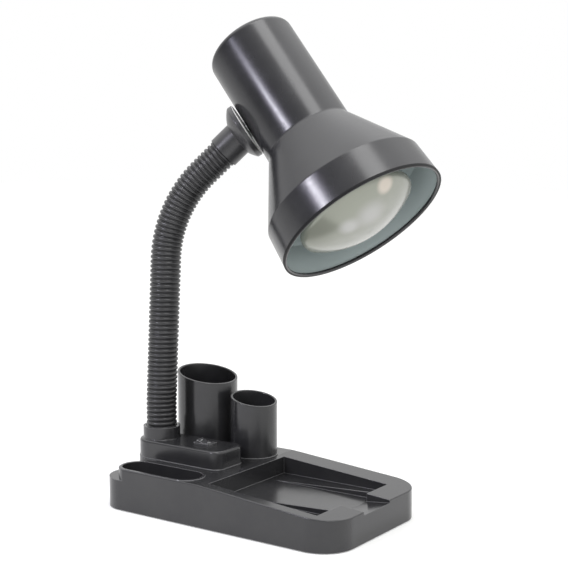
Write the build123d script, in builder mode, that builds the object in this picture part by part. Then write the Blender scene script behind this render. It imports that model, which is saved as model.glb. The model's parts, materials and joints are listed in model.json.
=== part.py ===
from build123d import *

import math
import os

os.makedirs("parts", exist_ok=True)

# Desk lamp with an organizer base. +X runs towards the note pocket, +Y to the back, and Z = 0 is the desk.

# Organizer base: one moulded shell, stepped down at its left end and sloping down to the right.
base_length = 210.0
base_width = 122.0
base_corner = 24.0
base_left_corner = 20.5
base_wall = 2.4
base_edge_round = 0.8
skirt_lift = 0.7
ledge_height = 23.0
deck_height = 31.5
deck_lead = 5.6
deck_slope = 4.4
lobe_margin = 0.8

# Oval tray in the front of the deck.
tray_margin = 13.9
tray_edge = 0.4
tray_run = 45.8
tray_wall = 1.8
tray_rim = 0.5
tray_floor = 15.0

# Note pocket in the sloping deck, with two lifting ribs and a finger notch through its right border.
pocket_lead = 4.2
pocket_border = 19.0
pocket_front_border = 8.7
pocket_back_border = 20.3
pocket_floor = 18.2
pocket_rib_gap = 52.8
pocket_rib_start = 6.0
pocket_rib_height = 4.3
pocket_rib_width = 1.2
notch_width = 34.7
notch_rise = 2.1

# Pen cups, plugged into the deck, with mouths cut on a slant.
large_cup_radius = 23.6
large_cup_rim = 90.2
small_cup_radius = 18.0
small_cup_rim = 75.6
cup_margin = 7.4
cup_gap = 3.7
cup_back = 4.8
cup_front = 1.4
cup_wall = 1.8
cup_rim_round = 0.5
cup_floor = 2.0
cup_spigot = 6.0
cup_spigot_step = 1.6
cup_foot = 0.5
cup_foot_height = 0.8
cup_mouth_fall = 0.19
cup_mouth_rise = 0.045

# Switch housing on the deck, with the collar that takes the neck.
housing_margin = 2.0
housing_gap = 6.6
housing_half_width = 16.8
housing_run = 67.7
housing_end_round = 8.0
housing_height = 14.2
housing_wall = 2.2
housing_top_round = 1.8
housing_foot = 0.5
housing_foot_height = 0.8
deck_opening_inset = 4.0
collar_radius = 14.2
collar_height = 9.3
collar_foot_round = 0.7

# Rocker switch, with its long side along X.
switch_reach = 42.6
bezel_length = 15.0
bezel_width = 10.6
bezel_height = 1.4
bezel_wall = 1.3
bezel_lap = 0.5
switch_depth = 13.0
rocker_tilt = 8.0
rocker_crown = 2.4
rocker_dip = 1.3
rocker_root = 3.4
rocker_root_length = 4.0
rocker_side_gap = 0.6
rocker_axis_height = 0.2
rocker_pin_radius = 0.9
rocker_pin_length = 0.6
terminal_length = 6.0
terminal_width = 4.0
terminal_thickness = 0.8
terminal_pitch = 7.0

# Underside: steel plate on four bosses, steel ballast, and a foam pad that stands on the desk.
pad_thickness = 1.5
pad_margin = 5.0
plate_thickness = 1.5
ballast_margin = 30.0
ballast_width = 62.0
ballast_thickness = 7.0
boss_inset = 13.0
boss_side_inset = 15.0
boss_radius = 4.0
screw_radius = 1.5
screw_head_radius = 2.9
screw_length = 9.0

# Cable inlet in the back wall, and the terminal block on the ballast.
inlet_reach = 53.0
inlet_z = 11.5
inlet_bore = 6.5
grommet_radius = 6.6
grommet_neck_radius = 4.8
grommet_flange = 1.2
block_reach = 34.0
block_length = 24.0
block_width = 16.0
block_height = 11.0
block_well_radius = 2.6
block_well_depth = 6.0
block_well_pitch = 10.0

# Neck: a ribbed sleeve over a jointed core, in an upright plane that is turned from the X axis.
neck_yaw = 32.5
neck_rise = 24.0
neck_lean = 2.4
neck_lean_radius = 200.0
neck_run = 105.3
neck_bend_radius = 98.0
neck_top_tilt = 46.0
neck_top_run = 20.0
sleeve_radius = 11.7
sleeve_valley_radius = 10.3
sleeve_bore_radius = 9.0
sleeve_seat = 5.0
rib_pitch = 3.5
rib_rise = 0.25
rib_crest = 0.35
core_radius = 8.6
core_bore_radius = 2.2
ball_radius = 6.0
stem_radius = 3.6
stem_length = 9.0
socket_lip = 2.4
neck_joint_count = 6
neck_joint_first = 24.0
neck_joint_pitch = 38.0
shank_radius = 5.0
shank_length = 9.0
neck_nut_flats = 16.0
neck_nut_height = 5.0
neck_washer_radius = 10.5
neck_washer_thickness = 1.2

# Knuckle at the top of the neck, and the pivot that carries the head.
ferrule_radius = 12.75
ferrule_length = 24.5
ferrule_stop = 3.0
core_seat = 9.0
pivot_rise = 33.3
dome_radius = 21.4
dome_bulge = 12.2
dome_edge = 3.4
dome_edge_round = 1.2
dome_clear = 14.0
pivot_gap = 1.5
pivot_radius = 4.0
pivot_bore_radius = 2.0
pivot_depth = 7.0
spacer_radius = 6.5
saddle_radius = 9.0
saddle_thickness = 3.0
spring_radius = 8.0
spring_thickness = 1.4
pivot_nut_flats = 13.0
pivot_nut_height = 4.5
stud_proud = 1.0

# Lamp head, measured from its mouth along its own axis.
head_swing = -24.3
mouth_radius = 64.7
rim_radius = 62.9
rim_height = 26.9
rim_round = 1.6
barrel_radius = 34.4
cone_height = 78.1
cone_round = 3.0
head_height = 171.8
head_top_round = 5.0
shade_wall = 1.2

# Reflector bulb and its holder.
bulb_radius = 47.5
bulb_dome = 17.0
bulb_proud = 7.5
bulb_throat_radius = 19.0
bulb_throat_height = 79.0
bulb_belly = 7.0
bulb_edge_round = 5.0
bulb_wall = 1.0
cap_radius = 13.0
cap_height = 95.0
cap_length = 24.0
cap_lap = 1.2
contact_radius = 5.0
contact_length = 3.0
contact_taper = 30.0
holder_radius = 20.0
holder_length = 36.0
holder_lip = 3.0
holder_floor = 7.0
shell_wall = 0.6
tongue_width = 6.0
tongue_thickness = 0.6
tongue_rise = 4.0
tongue_reach = 9.0
tongue_foot = 5.0
tongue_tip = 2.5
bracket_thickness = 1.5
bracket_width = 18.0
bracket_span = 26.0
bracket_foot = 10.0
bracket_bend = 2.5

# Clearances: between pieces that fit together, and between pieces that move past each other.
fit = 0.15
running = 0.3

# Places that follow from the sizes above.
plate_base = pad_thickness
plate_top = plate_base + plate_thickness
ballast_top = plate_top + ballast_thickness
screw_taper = math.degrees(math.atan2(screw_head_radius - screw_radius, plate_thickness))
housing_top = deck_height + housing_height
slope_ratio = math.tan(math.radians(deck_slope))
base_end = base_length / 2
base_side = base_width / 2
cup_y = base_side - cup_back - large_cup_radius
collar_x = housing_margin + housing_half_width - base_end
housing_y = cup_y - large_cup_radius - cup_front - housing_half_width
tray_radius = (housing_y - housing_half_width - housing_gap - tray_edge + base_side) / 2
tray_left = tray_margin + tray_radius - base_end
tray_x = tray_left + tray_run / 2
tray_y = tray_edge + tray_radius - base_side
housing_end_x = collar_x + housing_run
switch_x = collar_x + switch_reach
large_cup_x = cup_margin + large_cup_radius - base_end
small_cup_x = large_cup_x + large_cup_radius + cup_gap + small_cup_radius
pocket_left = max(small_cup_x + small_cup_radius + cup_foot, housing_end_x + housing_foot) + pocket_lead
pocket_right = base_end - pocket_border
pocket_length = pocket_right - pocket_left
pocket_width = base_width - pocket_front_border - pocket_back_border
pocket_y = (pocket_front_border - pocket_back_border) / 2
deck_break_x = pocket_left - deck_lead
boss_x = base_end - boss_inset
boss_y = base_side - boss_side_inset
inlet_x = inlet_reach - base_end
block_x = collar_x + block_reach

switch_length = bezel_length - 2 * bezel_lap
switch_width = bezel_width - 2 * bezel_lap
rocker_window_length = bezel_length - 2 * bezel_wall
rocker_window_width = bezel_width - 2 * bezel_wall
rocker_half = rocker_window_length / 2 - rocker_side_gap
rocker_dir = Vector(math.cos(math.radians(rocker_tilt)), 0, -math.sin(math.radians(rocker_tilt)))
rocker_plane = Plane(
    (switch_x, housing_y, housing_top + rocker_axis_height),
    x_dir=rocker_dir,
    z_dir=(0, -1, 0),
)

# Directions of the neck's plane: outwards, upwards, and square to both.
neck_out = Vector(math.cos(math.radians(neck_yaw)), math.sin(math.radians(neck_yaw)), 0)
neck_up = Vector(0, 0, 1)
neck_side = neck_up.cross(neck_out)

# The neck's centre line, as the length and the turn of each straight run and tangent arc.
lean_turn = math.radians(neck_lean)
bend_turn = math.radians(neck_top_tilt - neck_lean)
neck_pieces = (
    (neck_rise, 0.0),
    (neck_lean_radius * lean_turn, lean_turn),
    (neck_run, 0.0),
    (neck_bend_radius * bend_turn, bend_turn),
    (neck_top_run + ferrule_length, 0.0),
)
knuckle_station = sum(length for length, turn in neck_pieces)
ferrule_station = knuckle_station - ferrule_length
sleeve_length = ferrule_station + sleeve_seat - running
core_end = ferrule_station + sleeve_seat + core_seat - fit
neck_joints = [neck_joint_first + neck_joint_pitch * index for index in range(neck_joint_count)]


def neck_plane(station):
    """Plane across the neck at a distance along its centre line, with a steady X axis square to the neck's plane."""
    place = Vector(collar_x, housing_y, housing_top)
    tilt = 0.0
    left = station
    for length, turn in neck_pieces:
        step = min(left, length)
        bend = turn * step / length
        chord = step if bend == 0 else 2 * length / turn * math.sin(bend / 2)
        place = place + (neck_out * math.sin(tilt + bend / 2) + neck_up * math.cos(tilt + bend / 2)) * chord
        tilt = tilt + bend
        left = left - step
    return Plane(place, x_dir=neck_side, z_dir=neck_out * math.sin(tilt) + neck_up * math.cos(tilt))


def neck_route(start, end):
    """Wire of the neck's centre line between two stations."""
    edges = []
    reached = 0.0
    for length, turn in neck_pieces:
        first = max(start, reached)
        last = min(end, reached + length)
        if last > first:
            points = [neck_plane(station).origin for station in (first, (first + last) / 2, last)]
            edges.append(Edge.make_three_point_arc(*points) if turn else Edge.make_line(points[0], points[2]))
        reached = reached + length
    return Wire(edges)


# The head's pivot leaves the neck's plane nowhere. The head hangs from it and is swung aside.
pivot_height = cone_height + dome_radius + dome_clear
pivot_lift = math.radians(pivot_rise)
swing = math.radians(head_swing)
pivot_dir = neck_out * math.cos(pivot_lift) + neck_up * math.sin(pivot_lift)
hang_dir = neck_out * math.sin(pivot_lift) - neck_up * math.cos(pivot_lift)
head_dir = hang_dir * math.cos(swing) + neck_side * math.sin(swing)
knuckle_center = neck_plane(knuckle_station).origin
pivot_center = knuckle_center + pivot_dir * (pivot_gap + barrel_radius)
mouth_center = pivot_center + head_dir * pivot_height
head_plane = Plane(mouth_center, x_dir=pivot_dir, z_dir=head_dir.cross(pivot_dir))
head_axis = Axis(mouth_center, -head_dir)
pivot_plane = Plane(knuckle_center, z_dir=pivot_dir)
saddle_face = pivot_gap + shade_wall + saddle_thickness
pivot_reach = saddle_face + running + spring_thickness + pivot_nut_height + stud_proud
contact_tip = cap_height + cap_length + contact_length
holder_seat = contact_tip + tongue_rise
holder_back = holder_seat + holder_floor
holder_mouth = holder_back - holder_length
shell_radius = cap_radius + running + shell_wall


def deck_at(x):
    """Height of the deck's top face at a place along the base."""
    return deck_height - max(0.0, x - deck_break_x) * slope_ratio


def save(piece, name):
    """Label a finished piece and write it to its own file."""
    piece.part.label = name
    export_step(piece.part, f"parts/{name}.step")


def base_outline(inset):
    """Footprint of the base, drawn in by `inset`: its left corners are tighter than its right ones."""
    with BuildSketch() as outline:
        Rectangle(base_length - 2 * inset, base_width - 2 * inset)
        fillet(outline.vertices().group_by(Axis.X)[0], base_left_corner - inset)
        fillet(outline.vertices().group_by(Axis.X)[-1], base_corner - inset)
    return outline.sketch


def base_block(inset):
    """Solid body of the base, drawn in by `inset`: flat deck, right slope, and the lobed step at the left end."""
    top = deck_height - inset
    with BuildPart() as block:
        with BuildSketch(Plane.XY.offset(skirt_lift)):
            add(base_outline(inset))
        extrude(amount=top - skirt_lift)
        with BuildSketch(Plane.XZ):
            with BuildLine():
                Polyline(
                    (deck_break_x, top),
                    (base_length, top),
                    (base_length, top - (base_length - deck_break_x) * slope_ratio),
                    close=True,
                )
            make_face()
        extrude(amount=base_width, both=True, mode=Mode.SUBTRACT)
        deck_edges = block.faces().filter_by(lambda face: face.normal_at().Z > base_edge_round).edges()
        fillet(deck_edges.filter_by(lambda edge: abs(edge.center().X - deck_break_x) > inset + fit), base_edge_round)
        with BuildSketch(Plane.XY.offset(ledge_height - inset)):
            with Locations((tray_left + inset, 0)):
                Rectangle(base_length, base_width, align=(Align.MAX, Align.CENTER))
            with Locations((tray_x, tray_y)):
                SlotCenterToCenter(tray_run, 2 * (tray_radius + lobe_margin - inset), mode=Mode.SUBTRACT)
            with Locations((collar_x, housing_y)):
                Circle(housing_half_width + housing_foot - inset, mode=Mode.SUBTRACT)
                Rectangle(
                    base_length,
                    2 * (housing_half_width + housing_foot - inset),
                    align=(Align.MIN, Align.CENTER),
                    mode=Mode.SUBTRACT,
                )
            with Locations((large_cup_x, cup_y)):
                Circle(large_cup_radius + cup_foot + lobe_margin - inset, mode=Mode.SUBTRACT)
        extrude(amount=deck_height, mode=Mode.SUBTRACT)
    return block.part


inlet_plane = Plane((inlet_x, base_width / 2, inlet_z), z_dir=(0, 1, 0))
base_outside = base_block(0.0)
base_inside = base_block(base_wall)

with BuildPart() as base_shell:
    add(base_outside)
    add(base_inside, mode=Mode.SUBTRACT)
    # Screw bosses, from the bottom plate up into the deck.
    for side_x, roof in ((-boss_x, ledge_height), (boss_x, deck_at(boss_x))):
        with BuildSketch(Plane.XY.offset(plate_top)):
            with Locations((side_x, -boss_y), (side_x, boss_y)):
                Circle(boss_radius)
        extrude(amount=roof - base_wall / 2 - plate_top)
    with BuildSketch(Plane.XY.offset(plate_top)):
        with GridLocations(2 * boss_x, 2 * boss_y, 2, 2):
            Circle(screw_radius + fit)
    extrude(amount=screw_length - plate_thickness + fit, mode=Mode.SUBTRACT)
    # Tray tub, with a thin rim that stands above the deck.
    with BuildSketch(Plane.XY.offset(tray_floor - base_wall)):
        with Locations((tray_x, tray_y)):
            SlotCenterToCenter(tray_run, 2 * tray_radius)
    extrude(amount=deck_height + tray_rim - tray_floor + base_wall)
    with BuildSketch(Plane.XY.offset(tray_floor)):
        with Locations((tray_x, tray_y)):
            SlotCenterToCenter(tray_run, 2 * (tray_radius - tray_wall))
    extrude(amount=deck_height, mode=Mode.SUBTRACT)
    # Pocket tub under the sloping deck.
    with BuildSketch(Plane.XZ.offset(-pocket_y)):
        with BuildLine():
            Polyline(
                (pocket_left - base_wall, pocket_floor - base_wall),
                (pocket_right + base_wall, pocket_floor - base_wall),
                (pocket_right + base_wall, deck_at(pocket_right) - base_wall / 2),
                (pocket_left - base_wall, deck_at(pocket_left) - base_wall / 2),
                close=True,
            )
        make_face()
    extrude(amount=pocket_width / 2 + base_wall, both=True)
    # Channel of the finger notch, through the right border.
    with BuildSketch(Plane.XZ.offset(-pocket_y)):
        with BuildLine():
            Polyline(
                (pocket_right, pocket_floor - base_wall),
                (base_end - base_wall / 2, pocket_floor + notch_rise - base_wall),
                (base_end - base_wall / 2, deck_at(base_end) - base_wall / 2),
                (pocket_right, deck_at(pocket_right) - base_wall / 2),
                close=True,
            )
        make_face()
    extrude(amount=notch_width / 2 + base_wall, both=True)
    with BuildSketch(Plane.XY.offset(pocket_floor)):
        with Locations(((pocket_left + pocket_right) / 2, pocket_y)):
            Rectangle(pocket_length, pocket_width)
    extrude(amount=deck_height, mode=Mode.SUBTRACT)
    with BuildSketch(Plane.XZ.offset(-pocket_y)):
        with BuildLine():
            Polyline(
                (pocket_right, pocket_floor),
                (base_end, pocket_floor + notch_rise),
                (base_end, deck_height),
                (pocket_right, deck_height),
                close=True,
            )
        make_face()
    extrude(amount=notch_width / 2, both=True, mode=Mode.SUBTRACT)
    # Lifting ribs, which rise out of the floor towards the right.
    for rib_y in (pocket_y - pocket_rib_gap / 2, pocket_y + pocket_rib_gap / 2):
        with BuildSketch(Plane.XZ.offset(-rib_y)):
            with BuildLine():
                Polyline(
                    (pocket_left + pocket_rib_start, pocket_floor),
                    (pocket_right, pocket_floor),
                    (pocket_right, pocket_floor + pocket_rib_height),
                    close=True,
                )
            make_face()
        extrude(amount=pocket_rib_width / 2, both=True)
    # Seats of the cups and the opening under the switch housing.
    with BuildSketch(Plane.XY.offset(ledge_height)):
        with Locations((large_cup_x, cup_y)):
            Circle(large_cup_radius - cup_spigot_step + fit)
        with Locations((small_cup_x, cup_y)):
            Circle(small_cup_radius - cup_spigot_step + fit)
        with Locations(((collar_x - housing_half_width + housing_end_x) / 2, housing_y)):
            SlotOverall(
                housing_end_x - collar_x + housing_half_width - 2 * deck_opening_inset,
                2 * (housing_half_width - deck_opening_inset),
            )
    extrude(amount=deck_height, mode=Mode.SUBTRACT)
    # Hole for the cable grommet in the back wall.
    with BuildSketch(inlet_plane):
        Circle(grommet_neck_radius + fit)
    extrude(amount=-base_wall, mode=Mode.SUBTRACT)
save(base_shell, "base_shell")

for name, cup_x, cup_radius, cup_rim in (
    ("large_pen_cup", large_cup_x, large_cup_radius, large_cup_rim),
    ("small_pen_cup", small_cup_x, small_cup_radius, small_cup_rim),
):
    with BuildPart() as pen_cup:
        # Locating ring under the floor, wall, and the thin foot on the deck.
        with BuildSketch(Plane.XY.offset(deck_height - cup_spigot)):
            with Locations((cup_x, cup_y)):
                Circle(cup_radius - cup_spigot_step)
                Circle(cup_radius - cup_spigot_step - cup_wall, mode=Mode.SUBTRACT)
        extrude(amount=cup_spigot)
        with BuildSketch(Plane.XY.offset(deck_height)):
            with Locations((cup_x, cup_y)):
                Circle(cup_radius)
        extrude(amount=2 * (cup_rim - deck_height))
        with BuildSketch(Plane.XY.offset(deck_height)):
            with Locations((cup_x, cup_y)):
                Circle(cup_radius + cup_foot)
        extrude(amount=cup_foot_height)
        with BuildSketch(Plane.XY.offset(deck_height + cup_floor)):
            with Locations((cup_x, cup_y)):
                Circle(cup_radius - cup_wall)
        extrude(amount=2 * (cup_rim - deck_height), mode=Mode.SUBTRACT)
        split(
            bisect_by=Plane((cup_x, cup_y, cup_rim), z_dir=(cup_mouth_fall, -cup_mouth_rise, 1)),
            keep=Keep.BOTTOM,
        )
        fillet(pen_cup.faces().sort_by(Axis.Z)[-1].edges(), cup_rim_round)
    save(pen_cup, name)


def housing_outline(margin):
    """Outline of the switch housing, grown by `margin`: round about the collar, two rounded corners at the far end."""
    half = housing_half_width + margin
    with BuildSketch() as outline:
        with Locations((collar_x, housing_y)):
            Circle(half)
            Rectangle(housing_end_x + margin - collar_x, 2 * half, align=(Align.MIN, Align.CENTER))
        fillet(outline.vertices().sort_by(Axis.X)[-2:], housing_end_round + margin)
    return outline.sketch


housing_face = housing_outline(0.0)
housing_foot_face = housing_outline(housing_foot)
housing_inner_face = housing_outline(-housing_wall)

with BuildPart() as switch_housing:
    with BuildSketch(Plane.XY.offset(deck_height)):
        add(housing_face)
    extrude(amount=housing_height)
    fillet(switch_housing.faces().sort_by(Axis.Z)[-1].edges(), housing_top_round)
    with BuildSketch(Plane.XY.offset(deck_height)):
        add(housing_foot_face)
    extrude(amount=housing_foot_height)
    with BuildSketch(Plane.XY.offset(housing_top)):
        with Locations((collar_x, housing_y)):
            Circle(collar_radius)
    extrude(amount=collar_height)
    fillet(switch_housing.edges().filter_by(GeomType.CIRCLE).group_by(Axis.Z)[-2], collar_foot_round)
    with BuildSketch(Plane.XY.offset(deck_height)):
        add(housing_inner_face)
    extrude(amount=housing_height - housing_wall, mode=Mode.SUBTRACT)
    # Bore of the collar, hole for the neck's shank, and the cut-out that the switch snaps into.
    with BuildSketch(Plane.XY.offset(housing_top)):
        with Locations((collar_x, housing_y)):
            Circle(sleeve_radius + running)
    extrude(amount=collar_height, mode=Mode.SUBTRACT)
    with BuildSketch(Plane.XY.offset(housing_top - housing_wall)):
        with Locations((collar_x, housing_y)):
            Circle(shank_radius + fit)
        with Locations((switch_x, housing_y)):
            Rectangle(switch_length + 2 * fit, switch_width + 2 * fit)
    extrude(amount=housing_wall, mode=Mode.SUBTRACT)
save(switch_housing, "switch_housing")

with BuildPart() as switch_frame:
    with BuildSketch(Plane.XY.offset(housing_top)):
        with Locations((switch_x, housing_y)):
            RectangleRounded(bezel_length, bezel_width, bezel_wall)
    extrude(amount=bezel_height)
    with BuildSketch(Plane.XY.offset(housing_top)):
        with Locations((switch_x, housing_y)):
            Rectangle(switch_length, switch_width)
    extrude(amount=-switch_depth)
    with BuildSketch(Plane.XY.offset(housing_top + bezel_height)):
        with Locations((switch_x, housing_y)):
            Rectangle(rocker_window_length, rocker_window_width)
    extrude(amount=-bezel_height - rocker_root - running, mode=Mode.SUBTRACT)
    with BuildSketch(rocker_plane):
        Circle(rocker_pin_radius + running)
    extrude(amount=rocker_window_width / 2 + rocker_pin_length, both=True, mode=Mode.SUBTRACT)
save(switch_frame, "switch_frame")

with BuildPart() as switch_rocker:
    with BuildSketch(rocker_plane):
        with BuildLine():
            Polyline(
                (-rocker_half, 0),
                (-rocker_root_length / 2, -rocker_root),
                (rocker_root_length / 2, -rocker_root),
                (rocker_half, 0),
                (rocker_half, rocker_crown),
                (0, rocker_dip),
                (-rocker_half, rocker_crown),
                close=True,
            )
        make_face()
    extrude(amount=rocker_window_width / 2 - running, both=True)
    with BuildSketch(rocker_plane):
        Circle(rocker_pin_radius)
    extrude(amount=rocker_window_width / 2 + rocker_pin_length - fit, both=True)
save(switch_rocker, "switch_rocker")

for index, terminal_x in enumerate((switch_x - terminal_pitch / 2, switch_x + terminal_pitch / 2), start=1):
    with BuildPart() as switch_terminal:
        with BuildSketch(Plane.XY.offset(housing_top - switch_depth)):
            with Locations((terminal_x, housing_y)):
                Rectangle(terminal_thickness, terminal_width)
        extrude(amount=-terminal_length)
    save(switch_terminal, f"switch_terminal_{index}")

with BuildPart() as base_pad:
    with BuildSketch():
        add(base_outline(pad_margin))
    extrude(amount=pad_thickness)
save(base_pad, "base_pad")

with BuildPart() as bottom_plate:
    with BuildSketch(Plane.XY.offset(plate_base)):
        add(base_outline(base_wall + running))
    extrude(amount=plate_thickness)
    with BuildSketch(Plane.XY.offset(plate_base)) as screw_heads:
        with GridLocations(2 * boss_x, 2 * boss_y, 2, 2):
            Circle(screw_head_radius + fit)
    extrude(amount=plate_thickness, mode=Mode.SUBTRACT, taper=screw_taper)
save(bottom_plate, "bottom_plate")

with BuildPart() as ballast_plate:
    with BuildSketch(Plane.XY.offset(plate_top)):
        Rectangle(base_length - 2 * ballast_margin, ballast_width)
    extrude(amount=ballast_thickness)
save(ballast_plate, "ballast_plate")

screw_places = [(x, y) for x in (-boss_x, boss_x) for y in (-boss_y, boss_y)]
for index, (screw_x, screw_y) in enumerate(screw_places, start=1):
    with BuildPart() as base_screw:
        with BuildSketch(Plane.XY.offset(plate_base)):
            with Locations((screw_x, screw_y)):
                Circle(screw_head_radius)
        extrude(amount=plate_thickness, taper=screw_taper)
        with BuildSketch(Plane.XY.offset(plate_base)):
            with Locations((screw_x, screw_y)):
                Circle(screw_radius)
        extrude(amount=screw_length)
    save(base_screw, f"base_screw_{index}")

with BuildPart() as cable_grommet:
    with BuildSketch(inlet_plane):
        Circle(grommet_radius)
    extrude(amount=grommet_flange)
    with BuildSketch(inlet_plane):
        Circle(grommet_neck_radius)
    extrude(amount=-base_wall)
    with BuildSketch(inlet_plane.offset(-base_wall)):
        Circle(grommet_radius)
    extrude(amount=-grommet_flange)
    with BuildSketch(inlet_plane.offset(grommet_flange)):
        Circle(inlet_bore / 2)
    extrude(amount=-base_wall - 2 * grommet_flange, mode=Mode.SUBTRACT)
save(cable_grommet, "cable_grommet")

with BuildPart() as terminal_block:
    with BuildSketch(Plane.XY.offset(ballast_top)):
        with Locations((block_x, housing_y)):
            Rectangle(block_length, block_width)
    extrude(amount=block_height)
    with BuildSketch(Plane.XY.offset(ballast_top + block_height)):
        with Locations((block_x, housing_y)):
            with GridLocations(block_well_pitch, block_width / 2, 2, 2):
                Circle(block_well_radius)
    extrude(amount=-block_well_depth, mode=Mode.SUBTRACT)
save(terminal_block, "terminal_block")


# Ribbed sleeve: each rib takes four circles, two at its root and two on its crest.
rib_count = round(sleeve_length / rib_pitch)
rib_step = sleeve_length / rib_count
sleeve_rings = []
for rib in range(rib_count):
    foot = rib * rib_step
    sleeve_rings.append((foot, sleeve_valley_radius))
    sleeve_rings.append((foot + rib_rise * rib_step, sleeve_radius))
    sleeve_rings.append((foot + (rib_rise + rib_crest) * rib_step, sleeve_radius))
    sleeve_rings.append((foot + (2 * rib_rise + rib_crest) * rib_step, sleeve_valley_radius))
sleeve_rings.append((sleeve_length, sleeve_valley_radius))

with BuildPart() as neck_sleeve:
    for station, radius in sleeve_rings:
        with BuildSketch(neck_plane(station)):
            Circle(radius)
    loft(ruled=True)
    with BuildSketch(neck_plane(0)):
        Circle(sleeve_bore_radius)
    sweep(path=neck_route(0, sleeve_length), mode=Mode.SUBTRACT)
save(neck_sleeve, "neck_sleeve")

# Jointed core: each link's ball turns in the socket of the link below.
with BuildPart() as neck_stud:
    with BuildSketch(neck_plane(0)):
        Circle(core_radius)
    sweep(path=neck_route(0, neck_joints[0] + socket_lip))
    with BuildSketch(Plane.XY.offset(housing_top)):
        with Locations((collar_x, housing_y)):
            Circle(shank_radius)
    extrude(amount=-shank_length)
    with Locations(neck_plane(neck_joints[0]).origin):
        Sphere(ball_radius + running, mode=Mode.SUBTRACT)
    with BuildSketch(Plane.XY.offset(housing_top - shank_length)):
        with Locations((collar_x, housing_y)):
            Circle(core_bore_radius)
    extrude(amount=shank_length + neck_joints[0], mode=Mode.SUBTRACT)
save(neck_stud, "neck_stud")

for index, station in enumerate(neck_joints, start=1):
    is_last = index == neck_joint_count
    next_station = core_end if is_last else station + neck_joint_pitch
    link_end = core_end if is_last else next_station + socket_lip
    with BuildPart() as neck_link:
        with Locations(neck_plane(station).origin):
            Sphere(ball_radius)
        with BuildSketch(neck_plane(station)):
            Circle(stem_radius)
        sweep(path=neck_route(station, station + stem_length + ball_radius))
        with BuildSketch(neck_plane(station + stem_length)):
            Circle(core_radius)
        sweep(path=neck_route(station + stem_length, link_end))
        if not is_last:
            with Locations(neck_plane(next_station).origin):
                Sphere(ball_radius + running, mode=Mode.SUBTRACT)
        with BuildSketch(neck_plane(station - ball_radius - running)):
            Circle(core_bore_radius)
        sweep(path=neck_route(station - ball_radius - running, link_end), mode=Mode.SUBTRACT)
    save(neck_link, f"neck_link_{index}")

with BuildPart() as neck_washer:
    with BuildSketch(Plane.XY.offset(housing_top - housing_wall)):
        with Locations((collar_x, housing_y)):
            Circle(neck_washer_radius)
            Circle(shank_radius + fit, mode=Mode.SUBTRACT)
    extrude(amount=-neck_washer_thickness)
save(neck_washer, "neck_washer")

with BuildPart() as neck_nut:
    with BuildSketch(Plane.XY.offset(housing_top - housing_wall - neck_washer_thickness)):
        with Locations((collar_x, housing_y)):
            RegularPolygon(neck_nut_flats / 2, 6, major_radius=False)
            Circle(shank_radius + fit, mode=Mode.SUBTRACT)
    extrude(amount=-neck_nut_height)
save(neck_nut, "neck_nut")

with BuildPart() as knuckle:
    # Domed disc, flat towards the head.
    with BuildSketch(Plane(knuckle_center, x_dir=neck_side, z_dir=neck_side.cross(-pivot_dir))):
        with BuildLine():
            dome = TangentArc((0, dome_bulge), (dome_radius, dome_edge), tangent=(1, 0))
            Polyline(dome @ 1, (dome_radius, 0), (0, 0), dome @ 0)
        make_face()
    revolve(axis=Axis(knuckle_center, pivot_dir))
    dome_rings = knuckle.edges().filter_by(lambda edge: edge.is_closed)
    fillet(dome_rings.sort_by_distance(knuckle_center - pivot_dir * dome_bulge)[0], dome_edge_round)
    # Ferrule over the end of the sleeve, with a seat for the core and a hole for the lead.
    with BuildSketch(neck_plane(ferrule_station)):
        Circle(ferrule_radius)
    extrude(amount=ferrule_length - ferrule_stop)
    with BuildSketch(neck_plane(ferrule_station)):
        Circle(sleeve_radius + running)
    extrude(amount=sleeve_seat, mode=Mode.SUBTRACT)
    with BuildSketch(neck_plane(ferrule_station)):
        Circle(core_radius + fit)
    extrude(amount=sleeve_seat + core_seat, mode=Mode.SUBTRACT)
    with BuildSketch(neck_plane(ferrule_station)):
        Circle(core_bore_radius)
    extrude(amount=ferrule_length - pivot_depth / 2, mode=Mode.SUBTRACT)
    with BuildSketch(pivot_plane):
        Circle(pivot_radius + fit)
    extrude(amount=-pivot_depth, mode=Mode.SUBTRACT)
save(knuckle, "knuckle")

with BuildPart() as pivot_stud:
    with BuildSketch(pivot_plane.offset(-pivot_depth)):
        Circle(pivot_radius)
        Circle(pivot_bore_radius, mode=Mode.SUBTRACT)
    extrude(amount=pivot_depth + pivot_reach)
save(pivot_stud, "pivot_stud")

with BuildPart() as pivot_spacer:
    with BuildSketch(pivot_plane):
        Circle(spacer_radius)
        Circle(pivot_radius + fit, mode=Mode.SUBTRACT)
    extrude(amount=pivot_gap - running)
save(pivot_spacer, "pivot_spacer")

with BuildPart() as pivot_saddle:
    with BuildSketch(pivot_plane.offset(saddle_face)):
        Circle(saddle_radius)
    extrude(amount=-2 * saddle_thickness)
    with BuildSketch(Plane(pivot_center - head_dir * saddle_radius, z_dir=head_dir)):
        Circle(barrel_radius - shade_wall - fit)
    extrude(amount=2 * saddle_radius, mode=Mode.INTERSECT)
    with BuildSketch(pivot_plane):
        Circle(pivot_radius + running)
    extrude(amount=saddle_face, mode=Mode.SUBTRACT)
save(pivot_saddle, "pivot_saddle")

with BuildPart() as pivot_spring:
    with BuildSketch(pivot_plane.offset(saddle_face + running)):
        Circle(spring_radius)
        Circle(pivot_radius + fit, mode=Mode.SUBTRACT)
    extrude(amount=spring_thickness)
save(pivot_spring, "pivot_spring")

with BuildPart() as pivot_nut:
    with BuildSketch(pivot_plane.offset(saddle_face + running + spring_thickness)):
        RegularPolygon(pivot_nut_flats / 2, 6, major_radius=False)
        Circle(pivot_radius + fit, mode=Mode.SUBTRACT)
    extrude(amount=pivot_nut_height)
save(pivot_nut, "pivot_nut")

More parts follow.
